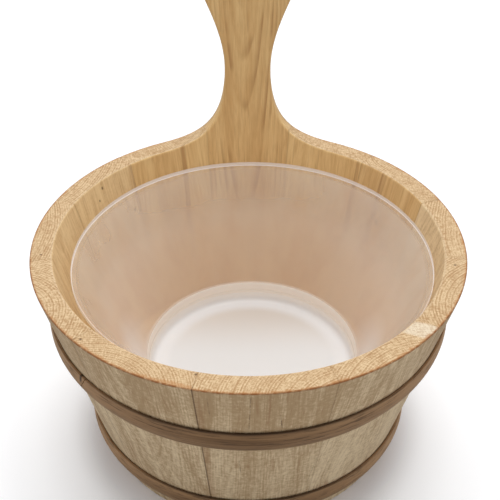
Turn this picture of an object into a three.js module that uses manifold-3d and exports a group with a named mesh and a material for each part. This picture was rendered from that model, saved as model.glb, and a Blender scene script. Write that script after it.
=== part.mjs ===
// A coopered sauna bucket. Twelve tapered staves stand round a bottom of three planks and are bound by
// two wooden hoops. One stave is drawn up into a flared handle, and a loose plastic liner stands inside.
// Millimetres, +Z up. The bucket stands on the XY plane, with its handle at the back, towards +Y.
import * as THREE from "three";
import { mergeVertices } from "three/addons/utils/BufferGeometryUtils.js";
import Module from "manifold-3d";

const wasm = await Module();
wasm.setup();

// The wooden wall
const bucketHeight = 144;
const rimOuterRadius = 130;
const footOuterRadius = 94.6;
const wallThickness = 13.4;
const rimEase = 0.8;
const footEase = 1.2;

// The staves and the joints between them. Each plain stave has its share of the turn that the handle stave
// leaves, anticlockwise from the handle seen from above, and the shares add up to 1.
const handleStaveAngle = 27.8;
const handleTurn = 0.5;
const leftBackShares = [0.0861, 0.0849, 0.0867];
const frontShares = [0.1033, 0.1002, 0.0999, 0.0939];
const rightBackShares = [0.0888, 0.0849, 0.0888, 0.0825];
const jointGap = 0.3;
const tongueThickness = 4;
const tongueTipThickness = 3.2;
const tongueDepth = 3;

// The handle, with heights above the rim
const handleHeight = 121;
const neckHeight = 49.1;
const neckHalfWidth = 15.6;
const sweepReachShare = 0.693;
const sweepRimPull = 31.2;
const sweepNeckPull = 35.1;
const flareHeight = 104;
const flareWidthShare = 0.958;
const flareNeckPull = 20.2;
const flareTopPull = 15.9;
const flareLean = 23.1;
const cornerPullShare = 0.53;
const crownPullShare = 0.82;
const handleEase = 2.2;
const easeRun = 30;

// The bottom board, seated in the croze groove
const boardThickness = 12;
const boardLipThickness = 6;
const crozeDepth = 4;
const plankCount = 3;
const seatClearance = 0.3;

// The hoops, with drops below the rim
const hoopHeight = 17;
const hoopEdgeThickness = 1.4;
const hoopCrown = 2.3;
const upperHoopDrop = 37.3;
const lowerHoopDrop = 116;
const scarfGap = 0.5;
const scarfSlant = 28;
const upperScarfAngle = 220;
const lowerScarfAngle = 52;

// The liner
const linerWall = 1.6;
const linerDrop = 12.5;
const lipClearance = 2.9;
const lipWidth = 3;
const lipDepth = 3;
const lipRound = 0.7;
const shoulderInset = 26.8;
const shoulderDrop = 88.4;
const baseInset = 0.5;
const baseDrop = 95.7;
const floorFilletWidth = 7.8;
const floorDrop = 102;
const footRingHeight = 2;
const footRingWidth = 2.4;
const linerDrift = 2.4;

// Fineness of the round and curved shapes
const wallSegments = 96;
const linerSegments = 64;
const hoopSteps = 6;
const crestSteps = 8;
const filletSteps = 4;
const backWallColumns = 18;
const rowDip = 5;
const spareAngle = 2;
const cutOverrun = 10;
const chordReachShare = 1.08;

const woodTones = [0xd9b98a, 0xd2ae7c, 0xdcc093, 0xcfaa79];
const hoopTone = 0x8b6a4e;
const linerTone = 0xd9cfc9;
const woodRoughness = 0.72;
const linerRoughness = 0.35;

const wallSlope = (rimOuterRadius - footOuterRadius) / bucketHeight;
const boardTop = bucketHeight - floorDrop - linerWall - footRingHeight - seatClearance;
const boardUnderside = boardTop - boardThickness;
const boardMiddle = (boardTop + boardUnderside) / 2;
const crozeHalfHeight = boardLipThickness / 2 + seatClearance;
const plainShares = [...leftBackShares, ...frontShares, ...rightBackShares];
const plainAngles = plainShares.map((share) => share * (360 - handleStaveAngle));

function outerRadiusAt(height) {
  return footOuterRadius + wallSlope * height;
}

function innerRadiusAt(height) {
  return outerRadiusAt(height) - wallThickness;
}

// Joins a geometry's shared corners and turns it into a solid that can be cut.
function solidFrom(geometry) {
  const bare = geometry.index ? geometry.toNonIndexed() : geometry.clone();
  bare.deleteAttribute("normal");
  bare.deleteAttribute("uv");
  const merged = mergeVertices(bare);
  const corners = merged.index.array;
  const triVerts = [];
  for (let i = 0; i < corners.length; i += 3) {
    const [a, b, c] = corners.slice(i, i + 3);
    if (a !== b && b !== c && c !== a) {
      triVerts.push(a, b, c);
    }
  }
  const vertProperties = merged.attributes.position.array;
  return new wasm.Manifold(
    new wasm.Mesh({ numProp: 3, vertProperties, triVerts: new Uint32Array(triVerts) }),
  );
}

// Turns a profile of [radius, height] points round the Z axis.
function turned(profile, segments) {
  const points = profile.map(([radius, height]) => new THREE.Vector2(radius, height));
  const geometry = new THREE.LatheGeometry(points, segments);
  geometry.rotateX(Math.PI / 2);
  return solidFrom(geometry);
}

// Joins closed sections, each a ring of Vector3 with the same count, into one closed body.
function lofted(sections, capOutline) {
  const count = sections[0].length;
  const positions = sections.flat().flatMap((point) => point.toArray());
  const indices = [];
  for (let s = 0; s + 1 < sections.length; s += 1) {
    for (let i = 0; i < count; i += 1) {
      const low = s * count + i;
      const lowNext = s * count + ((i + 1) % count);
      indices.push(low, lowNext, low + count);
      indices.push(lowNext, lowNext + count, low + count);
    }
  }
  const lastStart = (sections.length - 1) * count;
  for (const [a, b, c] of THREE.ShapeUtils.triangulateShape(capOutline, [])) {
    indices.push(a, c, b);
    indices.push(lastStart + a, lastStart + b, lastStart + c);
  }
  const geometry = new THREE.BufferGeometry();
  geometry.setAttribute("position", new THREE.Float32BufferAttribute(positions, 3));
  geometry.setIndex(indices);
  return solidFrom(geometry);
}

function addMesh(group, name, solid, color, roughness) {
  const { vertProperties, triVerts } = solid.getMesh();
  const geometry = new THREE.BufferGeometry();
  geometry.setAttribute("position", new THREE.BufferAttribute(vertProperties, 3));
  geometry.setIndex(new THREE.BufferAttribute(triVerts, 1));
  geometry.computeVertexNormals();
  const material = new THREE.MeshStandardMaterial({ color, roughness, metalness: 0 });
  const mesh = new THREE.Mesh(geometry, material);
  mesh.name = name;
  group.add(mesh);
  return mesh;
}

// The turned wall: a hollow cone with eased edges and the croze groove round its inside.
function wallProfile() {
  const top = bucketHeight;
  const crozeLow = boardMiddle - crozeHalfHeight;
  const crozeHigh = boardMiddle + crozeHalfHeight;
  return [
    [innerRadiusAt(0) + footEase, 0],
    [outerRadiusAt(0) - footEase, 0],
    [outerRadiusAt(footEase), footEase],
    [outerRadiusAt(top - rimEase), top - rimEase],
    [outerRadiusAt(top) - rimEase, top],
    [innerRadiusAt(top) + rimEase, top],
    [innerRadiusAt(top - rimEase), top - rimEase],
    [innerRadiusAt(crozeHigh), crozeHigh],
    [innerRadiusAt(crozeHigh) + crozeDepth, crozeHigh],
    [innerRadiusAt(crozeLow) + crozeDepth, crozeLow],
    [innerRadiusAt(crozeLow), crozeLow],
    [innerRadiusAt(footEase), footEase],
    [innerRadiusAt(0) + footEase, 0],
  ];
}

// Right half of the wall's top edge seen from the front: the rim, the sweep, the neck and the flare. The
// sweep ends on the shoulder stave, and the flare stays within the board that the handle is cut from.
function crestPoints(rimReach) {
  const neckLevel = bucketHeight + neckHeight;
  const flareLevel = bucketHeight + flareHeight;
  const top = bucketHeight + handleHeight;
  const shoulderAngle = Math.min(plainAngles[0], plainAngles.at(-1));
  const shoulderTurn = THREE.MathUtils.degToRad(handleStaveAngle / 2 + shoulderAngle);
  const sweepReach = rimOuterRadius * Math.sin(shoulderTurn) * sweepReachShare;
  const boardTurn = THREE.MathUtils.degToRad(handleStaveAngle / 2);
  const flareHalfWidth = innerRadiusAt(flareLevel) * Math.sin(boardTurn) * flareWidthShare;
  const crownPull = flareHalfWidth * crownPullShare;
  const cornerPull = (handleHeight - flareHeight) * cornerPullShare;
  const lean = Math.tan(THREE.MathUtils.degToRad(flareLean));
  const flareTailX = flareHalfWidth - flareTopPull * lean;
  const cornerX = flareHalfWidth + cornerPull * lean;
  const neckTail = neckLevel - sweepNeckPull;
  const sweepTail = sweepReach - sweepRimPull;
  const neckRise = neckLevel + flareNeckPull;
  const flareTail = flareLevel - flareTopPull;
  const cornerLevel = flareLevel + cornerPull;
  const crest = new THREE.Path();
  crest.moveTo(rimReach, bucketHeight);
  crest.lineTo(sweepReach, bucketHeight);
  crest.bezierCurveTo(sweepTail, bucketHeight, neckHalfWidth, neckTail, neckHalfWidth, neckLevel);
  crest.bezierCurveTo(neckHalfWidth, neckRise, flareTailX, flareTail, flareHalfWidth, flareLevel);
  crest.bezierCurveTo(cornerX, cornerLevel, crownPull, top, 0, top);
  return crest.getPoints(crestSteps);
}

// The rows of the back wall, from the foot to the crown. Each has the place of its right end, the way out
// of the wood there, the ease of its edge, and how far its middle stands above its ends.
function backWallRows() {
  const shoulderAngle = Math.max(plainAngles[0], plainAngles.at(-1));
  const halfAngle = THREE.MathUtils.degToRad(handleStaveAngle / 2 + shoulderAngle + spareAngle);
  const ends = crestPoints(rimOuterRadius * Math.sin(halfAngle));
  ends.unshift(new THREE.Vector2(footOuterRadius * Math.sin(halfAngle), 0));
  return ends.map((end, i) => {
    const before = ends[i - 1] ?? new THREE.Vector2(0, end.y);
    const after = ends[i + 1] ?? new THREE.Vector2(-ends[i - 1].x, ends[i - 1].y);
    const along = after.clone().sub(before).normalize();
    const outward = new THREE.Vector2(along.y, -along.x);
    const rise = Math.max(end.y - bucketHeight, 0);
    const share = THREE.MathUtils.smoothstep(rise, 0, easeRun);
    const ease = THREE.MathUtils.lerp(rimEase, handleEase, share);
    const sweepShare = (i - 2) / crestSteps;
    const middle = sweepShare * neckHeight - (1 - sweepShare) * rowDip;
    const bulge = i === 0 || sweepShare > 1 ? 0 : middle - rise;
    return { end, outward, ease: i === 0 ? footEase : ease, bulge };
  });
}

// A point of the back wall: side runs from -1 at a row's left end to 1 at its right end. Depth is how far
// it lies behind the inner face, and inset how far it is drawn back from the edge.
function backWallPoint(row, side, depth, inset) {
  const end = row.end.clone().addScaledVector(row.outward, -inset);
  const level = row.end.y === 0 ? inset : end.y;
  const height = level + row.bulge * (1 - side ** 2);
  const turn = side * Math.asin(end.x / (innerRadiusAt(level) + depth));
  const radius = innerRadiusAt(height) + depth;
  return new THREE.Vector3(radius * Math.sin(turn), radius * Math.cos(turn), height);
}

// The part of the wall that rises into the handle, with its edges eased, before it is split into staves.
function backWall() {
  const rows = backWallRows();
  const layers = [
    (row, side) => backWallPoint(row, side, 0, row.ease),
    (row, side) => backWallPoint(row, side, row.ease, 0),
    (row, side) => backWallPoint(row, side, wallThickness - row.ease, 0),
    (row, side) => backWallPoint(row, side, wallThickness, row.ease),
  ];
  const sides = [];
  for (let j = 0; j <= backWallColumns; j += 1) {
    sides.push((j * 2) / backWallColumns - 1);
  }
  const corners = [];
  const addQuad = (a, b, c, d) => corners.push(a, b, c, a, c, d);
  for (let i = 0; i + 1 < rows.length; i += 1) {
    for (let j = 0; j < backWallColumns; j += 1) {
      const quad = [rows[i], rows[i], rows[i + 1], rows[i + 1]];
      const across = [sides[j], sides[j + 1], sides[j + 1], sides[j]];
      addQuad(...quad.map((row, k) => layers[0](row, across[k])));
      addQuad(...quad.map((row, k) => layers[3](row, across[k])).reverse());
    }
  }
  const rim = sides.map((side) => [rows[0], side]);
  rim.push(...rows.slice(1).map((row) => [row, 1]));
  rim.push(...rows.slice(1, -1).reverse().map((row) => [row, -1]));
  for (let layer = 0; layer + 1 < layers.length; layer += 1) {
    const near = layers[layer];
    const far = layers[layer + 1];
    rim.forEach((here, i) => {
      const next = rim[(i + 1) % rim.length];
      addQuad(near(...here), far(...here), far(...next), near(...next));
    });
  }
  const geometry = new THREE.BufferGeometry().setFromPoints(corners);
  const crozeLow = boardMiddle - crozeHalfHeight;
  const crozeHigh = boardMiddle + crozeHalfHeight;
  const crozeRing = turned(
    [
      [innerRadiusAt(0) - crozeDepth, crozeLow],
      [innerRadiusAt(crozeLow) + crozeDepth, crozeLow],
      [innerRadiusAt(crozeHigh) + crozeDepth, crozeHigh],
      [innerRadiusAt(0) - crozeDepth, crozeHigh],
      [innerRadiusAt(0) - crozeDepth, crozeLow],
    ],
    wallSegments,
  );
  return solidFrom(geometry).subtract(crozeRing).rotate([0, 0, handleTurn]);
}

// A point beside the joint line at an angle: radius along the line, offset across it, anticlockwise.
function besideJoint(angle, radius, offset) {
  const turn = THREE.MathUtils.degToRad(angle);
  const x = radius * Math.cos(turn) - offset * Math.sin(turn);
  const y = radius * Math.sin(turn) + offset * Math.cos(turn);
  return new THREE.Vector2(x, y);
}

// The space that one stave fills: grooved on its first joint face, tongued on its second.
function staveWedge(startAngle, endAngle) {
  const planAt = (height) => {
    const near = innerRadiusAt(height) / chordReachShare;
    const far = outerRadiusAt(height) * chordReachShare;
    const middle = (innerRadiusAt(height) + outerRadiusAt(height)) / 2;
    const face = jointGap / 2;
    const tip = tongueDepth - face;
    const groove = tip + jointGap;
    const mouthHalf = tongueThickness / 2 + jointGap;
    const grooveHalf = tongueTipThickness / 2 + jointGap;
    return [
      besideJoint(startAngle, near, face),
      besideJoint(startAngle, middle - mouthHalf, face),
      besideJoint(startAngle, middle - grooveHalf, groove),
      besideJoint(startAngle, middle + grooveHalf, groove),
      besideJoint(startAngle, middle + mouthHalf, face),
      besideJoint(startAngle, far, face),
      besideJoint(endAngle, far, -face),
      besideJoint(endAngle, middle + tongueThickness / 2, -face),
      besideJoint(endAngle, middle + tongueTipThickness / 2, tip),
      besideJoint(endAngle, middle - tongueTipThickness / 2, tip),
      besideJoint(endAngle, middle - tongueThickness / 2, -face),
      besideJoint(endAngle, near, -face),
    ];
  };
  const beyond = bucketHeight + handleHeight + cutOverrun;
  const sections = [-cutOverrun, beyond].map((height) =>
    planAt(height).map((point) => new THREE.Vector3(point.x, point.y, height)),
  );
  return lofted(sections, planAt(-cutOverrun));
}

// The shoulder staves end in the sweeps, so all the wood above the neck belongs to the handle stave.
function addStaves(group) {
  const plainWall = turned(wallProfile(), wallSegments);
  const wholeBack = backWall();
  const splitLevel = bucketHeight + neckHeight + handleEase;
  const beyond = bucketHeight + handleHeight + cutOverrun;
  const aboveNeck = new THREE.BoxGeometry(beyond * 2, beyond * 2, beyond - splitLevel);
  aboveNeck.translate(0, 0, (beyond + splitLevel) / 2);
  const risingWall = wholeBack.trimByPlane([0, 0, -1], -splitLevel);
  const handleStart = 90 + handleTurn - handleStaveAngle / 2;
  const handleEnd = handleStart + handleStaveAngle;
  const handleSpace = staveWedge(handleStart, handleEnd).add(solidFrom(aboveNeck));
  const handle = wholeBack.intersect(handleSpace);
  addMesh(group, "handle_stave", handle, woodTones[0], woodRoughness);
  let start = handleEnd;
  plainAngles.forEach((angle, i) => {
    const isLeft = i === 0;
    const isRight = i === plainAngles.length - 1;
    const wall = isLeft || isRight ? risingWall : plainWall;
    const numbered = "stave_" + String(i).padStart(2, "0");
    const name = isLeft ? "shoulder_stave_left" : isRight ? "shoulder_stave_right" : numbered;
    const stave = wall.intersect(staveWedge(start, start + angle));
    addMesh(group, name, stave, woodTones[(i + 1) % woodTones.length], woodRoughness);
    start += angle;
  });
}

// The bottom: a disc with a thinned lip that sits in the croze, sawn into edge-glued planks.
function addBottomPlanks(group) {
  const lipTop = boardMiddle + boardLipThickness / 2;
  const lipUnderside = boardMiddle - boardLipThickness / 2;
  const bodyRadius = innerRadiusAt(boardUnderside) - seatClearance;
  const lipRadius = innerRadiusAt(lipUnderside) + crozeDepth - seatClearance;
  const disc = turned(
    [
      [0, boardUnderside],
      [bodyRadius, boardUnderside],
      [bodyRadius, lipUnderside],
      [lipRadius, lipUnderside],
      [lipRadius, lipTop],
      [bodyRadius, lipTop],
      [bodyRadius, boardTop],
      [0, boardTop],
    ],
    wallSegments,
  );
  const pitch = (lipRadius * 2) / plankCount;
  for (let i = 0; i < plankCount; i += 1) {
    const strip = new THREE.BoxGeometry(pitch - jointGap, lipRadius * 2, boardThickness * 2);
    strip.translate((i - (plankCount - 1) / 2) * pitch, 0, boardMiddle);
    const plank = disc.intersect(solidFrom(strip));
    const tone = woodTones[i % woodTones.length];
    addMesh(group, "bottom_plank_" + (i + 1), plank, tone, woodRoughness);
  }
}

// A hoop: a bent strip with a crowned outer face, its two ends meeting at a slanting saw cut.
function addHoop(group, name, drop, scarfAngle) {
  const top = bucketHeight - drop;
  const profile = [];
  for (let i = 0; i <= hoopSteps; i += 1) {
    const share = i / hoopSteps;
    const height = top - hoopHeight + share * hoopHeight;
    const stand = hoopEdgeThickness + hoopCrown * Math.sin(Math.PI * share);
    profile.push([outerRadiusAt(height) + seatClearance + stand, height]);
  }
  profile.push([outerRadiusAt(top) + seatClearance, top]);
  profile.push([outerRadiusAt(top - hoopHeight) + seatClearance, top - hoopHeight]);
  profile.push(profile[0]);
  const middle = top - hoopHeight / 2;
  const cut = new THREE.BoxGeometry(hoopHeight, scarfGap, hoopHeight * 2);
  cut.rotateX(THREE.MathUtils.degToRad(scarfSlant));
  cut.translate(outerRadiusAt(middle) + hoopCrown, 0, middle);
  cut.rotateZ(THREE.MathUtils.degToRad(scarfAngle));
  const hoop = turned(profile, wallSegments).subtract(solidFrom(cut));
  addMesh(group, name, hoop, hoopTone, woodRoughness);
}

// The liner: a thin moulded bowl with a beaded lip, a stepped base and a foot ring, sized to the wall.
function addLiner(group) {
  const lipTop = bucketHeight - linerDrop;
  const lipUnderside = lipTop - lipDepth;
  const lipOuterRadius = innerRadiusAt(lipUnderside) - lipClearance;
  const mouthRadius = lipOuterRadius - lipWidth;
  const shoulder = bucketHeight - shoulderDrop;
  const shoulderRadius = innerRadiusAt(shoulder) - shoulderInset;
  const base = bucketHeight - baseDrop;
  const baseRadius = shoulderRadius - baseInset;
  const floorRadius = baseRadius - floorFilletWidth;
  const floor = bucketHeight - floorDrop;
  const underside = floor - linerWall;
  const footLevel = underside - footRingHeight;
  const wallLean = (mouthRadius - shoulderRadius) / (lipTop - shoulder);
  const wallRadiusAt = (height) => shoulderRadius + wallLean * (height - shoulder);
  const filletOuter = baseRadius + linerWall;
  const footOuter = floorRadius + footRingWidth / 2;
  const outerFillet = new THREE.Path();
  outerFillet.moveTo(footOuter, underside);
  outerFillet.quadraticCurveTo(filletOuter, underside, filletOuter, base);
  const innerFillet = new THREE.Path();
  innerFillet.moveTo(baseRadius, base);
  innerFillet.quadraticCurveTo(baseRadius, floor, floorRadius, floor);
  const profile = [
    [0, underside],
    [footOuter - footRingWidth, underside],
    [footOuter - footRingWidth, footLevel],
    [footOuter, footLevel],
    ...outerFillet.getPoints(filletSteps).map((point) => point.toArray()),
    [shoulderRadius + linerWall, shoulder],
    [wallRadiusAt(lipUnderside) + linerWall, lipUnderside],
    [lipOuterRadius, lipUnderside],
    [lipOuterRadius, lipTop - lipRound],
    [lipOuterRadius - lipRound, lipTop],
    [mouthRadius + lipRound, lipTop],
    [mouthRadius, lipTop - lipRound],
    [shoulderRadius, shoulder],
    ...innerFillet.getPoints(filletSteps).map((point) => point.toArray()),
    [0, floor],
  ];
  const liner = addMesh(group, "liner", turned(profile, linerSegments), linerTone, linerRoughness);
  liner.position.x = linerDrift;
}

const bucket = new THREE.Group();
addStaves(bucket);
addBottomPlanks(bucket);
addHoop(bucket, "upper_hoop", upperHoopDrop, upperScarfAngle);
addHoop(bucket, "lower_hoop", lowerHoopDrop, lowerScarfAngle);
addLiner(bucket);

// The origin is the middle of the standing height's footprint: the handle leans back past the rim.
const reach = new THREE.Box3().setFromObject(bucket);
bucket.position.y = -(reach.min.y + reach.max.y) / 2;
bucket.position.x = -(reach.min.x + reach.max.x) / 2;

export default bucket;
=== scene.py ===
import bpy
import bmesh
import math
import random
from mathutils import Matrix, Vector


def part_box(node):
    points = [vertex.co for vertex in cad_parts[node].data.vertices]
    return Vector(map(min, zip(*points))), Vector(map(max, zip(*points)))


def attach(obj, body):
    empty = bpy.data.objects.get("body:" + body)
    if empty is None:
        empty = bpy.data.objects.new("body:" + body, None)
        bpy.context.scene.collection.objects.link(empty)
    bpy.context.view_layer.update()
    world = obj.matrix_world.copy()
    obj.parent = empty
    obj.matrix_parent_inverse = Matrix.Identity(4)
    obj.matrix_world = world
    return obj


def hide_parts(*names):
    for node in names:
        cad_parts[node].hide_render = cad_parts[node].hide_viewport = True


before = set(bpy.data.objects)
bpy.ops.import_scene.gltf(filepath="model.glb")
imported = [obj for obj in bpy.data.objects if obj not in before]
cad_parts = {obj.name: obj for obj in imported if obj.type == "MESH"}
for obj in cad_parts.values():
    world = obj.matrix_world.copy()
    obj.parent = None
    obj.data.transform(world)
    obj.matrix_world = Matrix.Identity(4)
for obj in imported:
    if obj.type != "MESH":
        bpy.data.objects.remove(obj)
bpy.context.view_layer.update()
hoopLow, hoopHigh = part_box("lower_hoop")
bucketAxis = Vector(((hoopLow.x + hoopHigh.x) / 2, (hoopLow.y + hoopHigh.y) / 2, 0))
scene = bpy.context.scene


def addObject(name, data):
    thing = bpy.data.objects.new(name, data)
    scene.collection.objects.link(thing)
    return thing


# Camera

cameraLook = {
    "eye": (0.0009, -0.4804, 0.4833),
    "downTilt": 36.72,
    "roll": 0.185,
    "lens": 68.9,
    "sensor": 36.0,
    "clipNear": 0.01,
    "clipFar": 30,
}


def makeCamera(look):
    lensData = bpy.data.cameras.new("bucketCamera")
    lensData.lens = look["lens"]
    lensData.sensor_width = look["sensor"]
    lensData.clip_start = look["clipNear"]
    lensData.clip_end = look["clipFar"]
    camera = addObject("bucketCamera", lensData)
    tilt = Matrix.Rotation(math.radians(90 - look["downTilt"]), 4, "X")
    roll = Matrix.Rotation(math.radians(look["roll"]), 4, "Z")
    camera.matrix_world = Matrix.Translation(look["eye"]) @ tilt @ roll
    scene.camera = camera


makeCamera(cameraLook)
print("camera made")


# Shared helpers for materials


def tone(red, green, blue):
    # An sRGB colour, 0 to 255, as linear colour.
    def linear(level):
        share = level / 255
        return share / 12.92 if share <= 0.04045 else ((share + 0.055) / 1.055) ** 2.4
    return (linear(red), linear(green), linear(blue), 1.0)


def feed(sockets, values):
    # Links each value that is another node's socket to the socket of that name, and sets any other value.
    for name, value in values.items():
        if isinstance(value, bpy.types.NodeSocket):
            sockets[name].id_data.links.new(value, sockets[name])
        else:
            sockets[name].default_value = value


def addNode(tree, kind, inputs=None, **settings):
    # Makes a shader node, sets its settings, feeds its inputs and gives its outputs.
    node = tree.nodes.new("ShaderNode" + kind)
    for name, value in settings.items():
        setattr(node, name, value)
    feed(node.inputs, inputs or {})
    return node.outputs


def treeOf(*values):
    # The node tree of the first socket among the values.
    return next(value.id_data for value in values if isinstance(value, bpy.types.NodeSocket))


def addMath(operation, first, second=0.0, third=0.0):
    tree = treeOf(first, second, third)
    return addNode(tree, "Math", {0: first, 1: second, 2: third}, operation=operation)[0]


def plus(first, second):
    return addMath("ADD", first, second)


def minus(first, second):
    return addMath("SUBTRACT", first, second)


def times(first, second):
    return addMath("MULTIPLY", first, second)


def timesPlus(first, second, third):
    return addMath("MULTIPLY_ADD", first, second, third)


def larger(first, second):
    return addMath("MAXIMUM", first, second)


def span(x, y):
    # How far the point x, y lies from the axis.
    return addMath("SQRT", plus(addMath("POWER", x, 2.0), addMath("POWER", y, 2.0)))


def vectorMath(operation, first, second=(0, 0, 0), output="Vector"):
    return addNode(first.id_data, "VectorMath", {0: first, 1: second}, operation=operation)[output]


def joinParts(x, y, z=0.0):
    return addNode(treeOf(x, y, z), "CombineXYZ", {"X": x, "Y": y, "Z": z})[0]


def partsOf(vector):
    return addNode(vector.id_data, "SeparateXYZ", {0: vector})


def moveVector(vector, location, rotation=(0, 0, 0)):
    inputs = {"Vector": vector, "Location": location, "Rotation": rotation}
    return addNode(vector.id_data, "Mapping", inputs)[0]


def addRamp(value, low, high, start=0.0, end=1.0):
    # A smooth step of value from start at low to end at high.
    return addNode(
        value.id_data, "MapRange",
        {"Value": value, "From Min": low, "From Max": high, "To Min": start, "To Max": end},
        interpolation_type="SMOOTHSTEP",
    )["Result"]


def addStripe(value, middle, halfWidth, soft, force=1.0):
    # Force within halfWidth of middle, falling to 0 over soft.
    away = addMath("ABSOLUTE", minus(value, middle))
    return addRamp(away, halfWidth, halfWidth + soft, force, 0.0)


def addBlend(factor, first, second):
    return addNode(factor.id_data, "Mix", {0: factor, 6: first, 7: second}, data_type="RGBA")[2]


def addNoise(vector, scale, detail=2.0, roughness=0.5):
    # Noise from 0 to 1, with the scale in waves per metre of each part of the vector.
    stretched = vectorMath("MULTIPLY", vector, scale)
    inputs = {"Vector": stretched, "Scale": 1.0, "Detail": detail, "Roughness": roughness}
    return addNode(vector.id_data, "TexNoise", inputs)[0]


def makeGroup(name, inputs, outputs):
    # An input with no value is a vector, one with four values is a colour, and any other is a number.
    group = bpy.data.node_groups.new(name, "ShaderNodeTree")
    for label, value in inputs.items():
        kind = "Vector" if value is None else "Color" if isinstance(value, tuple) else "Float"
        socket = group.interface.new_socket(label, in_out="INPUT", socket_type="NodeSocket" + kind)
        if value is not None:
            socket.default_value = value
    for label in outputs:
        kind = "Color" if label == "Color" else "Float"
        group.interface.new_socket(label, in_out="OUTPUT", socket_type="NodeSocket" + kind)
    return group, group.nodes.new("NodeGroupInput").outputs, group.nodes.new("NodeGroupOutput").inputs


def useGroup(tree, group, inputs):
    return addNode(tree, "Group", inputs, node_tree=group)


def startMaterial(name):
    material = bpy.data.materials.new(name)
    material.use_nodes = True
    tree = material.node_tree
    return material, tree, tree.nodes["Principled BSDF"], addNode(tree, "TexCoord")


def addBump(shader, height, strength, depth):
    inputs = {"Height": height, "Strength": strength, "Distance": depth}
    feed(shader.inputs, {"Normal": addNode(height.id_data, "Bump", inputs)[0]})


def wearLook(shader, look, finish):
    # Links a wood group's colour, roughness and surface height to the shader.
    feed(shader.inputs, {
        "Base Color": look["Color"], "Roughness": look["Roughness"], "Specular IOR Level": finish["gloss"],
    })
    addBump(shader, look["Height"], finish["bump"], finish["bumpDepth"])


# Shared helpers for meshes

weldReach = 0.000001
cutReach = 0.0000005


def addMesh(bm, name, material):
    mesh = bpy.data.meshes.new(name)
    bm.to_mesh(mesh)
    bm.free()
    mesh.materials.append(material)
    return addObject(name, mesh)


def finishPiece(bm, name, material, body, nodes, sharpAngle=32):
    # Sets the normals and the smooth shading, and makes the object.
    bmesh.ops.recalc_face_normals(bm, faces=bm.faces[:])
    limit = math.radians(sharpAngle)
    for face in bm.faces:
        face.smooth = True
    for edge in bm.edges:
        edge.smooth = edge.is_manifold and edge.calc_face_angle(0) < limit
    bmesh.ops.translate(bm, vec=bucketAxis, verts=bm.verts[:])
    piece = addMesh(bm, name, material)
    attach(piece, body)
    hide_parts(*nodes)


def easedOutline(corners, steps=4):
    # Rounds each corner (radius, height, ease) of an outline. An ease of 0 keeps the corner sharp.
    outline = []
    for i, (radius, height, ease) in enumerate(corners):
        here = Vector((radius, height))
        if ease == 0:
            outline.append(here)
            continue
        before = Vector(corners[i - 1][:2])
        after = Vector(corners[(i + 1) % len(corners)][:2])
        start = here + (before - here).normalized() * ease
        end = here + (after - here).normalized() * ease
        for k in range(steps + 1):
            t = k / steps
            outline.append(start * (1 - t) ** 2 + here * 2 * t * (1 - t) + end * t ** 2)
    return outline


def spinOutline(outline, startTurn, sweep, steps, slant=0.0, middle=0.0):
    # Spins a closed outline through part of a turn into a solid. Slant leans its ends about middle.
    bm = bmesh.new()
    corners = []
    for radius, height in outline:
        turn = startTurn + slant * (height - middle)
        corners.append(bm.verts.new((radius * math.cos(turn), radius * math.sin(turn), height)))
    bm.faces.new(corners)
    bmesh.ops.spin(
        bm, geom=bm.verts[:] + bm.edges[:] + bm.faces[:], axis=(0, 0, 1), cent=(0, 0, 0),
        angle=sweep, steps=steps, use_merge=False, use_duplicate=False,
    )
    return bm


def turnOutline(outline, steps):
    # Turns an outline that starts and ends on the axis once round it.
    bm = bmesh.new()
    corners = [bm.verts.new((radius, 0, height)) for radius, height in outline]
    for before, after in zip(corners, corners[1:]):
        bm.edges.new((before, after))
    bmesh.ops.spin(
        bm, geom=bm.verts[:] + bm.edges[:], axis=(0, 0, 1), cent=(0, 0, 0), angle=math.tau, steps=steps,
        use_merge=True, use_duplicate=False,
    )
    bmesh.ops.remove_doubles(bm, verts=bm.verts[:], dist=weldReach)
    return bm


def cutAway(bm, place, normal):
    # Cuts at a plane, drops what lies behind it, closes the cut and gives the edges round it.
    cut = bmesh.ops.bisect_plane(
        bm, geom=bm.verts[:] + bm.edges[:] + bm.faces[:], dist=cutReach, plane_co=place, plane_no=normal,
        clear_inner=True, clear_outer=False,
    )
    edges = [item for item in cut["geom_cut"] if isinstance(item, bmesh.types.BMEdge)]
    bmesh.ops.holes_fill(bm, edges=edges, sides=0)
    return edges


def softenEdges(bm, edges, ease):
    bmesh.ops.bevel(
        bm, geom=edges, offset=ease, segments=2, profile=0.5, affect="EDGES", material=-1, clamp_overlap=True,
    )


# The wooden wall's sizes. The handle's width and offset are in degrees, and the shares divide the rest.

wall = {
    "height": 0.144,
    "rimRadius": 0.130,
    "footRadius": 0.0946,
    "thickness": 0.0134,
    "rimEase": 0.00103,
    "innerRimEase": 0.0011,
    "footEase": 0.0012,
    "handleWidth": 27.8,
    "handleOffset": 0.5,
    "leftBackShares": (0.0861, 0.0849, 0.0867),
    "frontShares": (0.1033, 0.1002, 0.0999, 0.0939),
    "rightBackShares": (0.0888, 0.0849, 0.0888, 0.0825),
    "jointGap": 0.00006,
    "jointEase": 0.00014,
    "crozeLow": 0.0288,
    "crozeHigh": 0.0354,
    "crozeDepth": 0.0040,
    "arcSteps": 16,
}
wallSlope = (wall["rimRadius"] - wall["footRadius"]) / wall["height"]
wallLean = math.atan(wallSlope)
staveTurns = [
    share * (360 - wall["handleWidth"])
    for share in wall["leftBackShares"] + wall["frontShares"] + wall["rightBackShares"]
]


def outerRadius(height):
    return wall["footRadius"] + wallSlope * height


def innerRadius(height):
    return outerRadius(height) - wall["thickness"]


# Wood, as node groups. The noise scales are in waves per metre of a board's depth, width and length.

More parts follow.
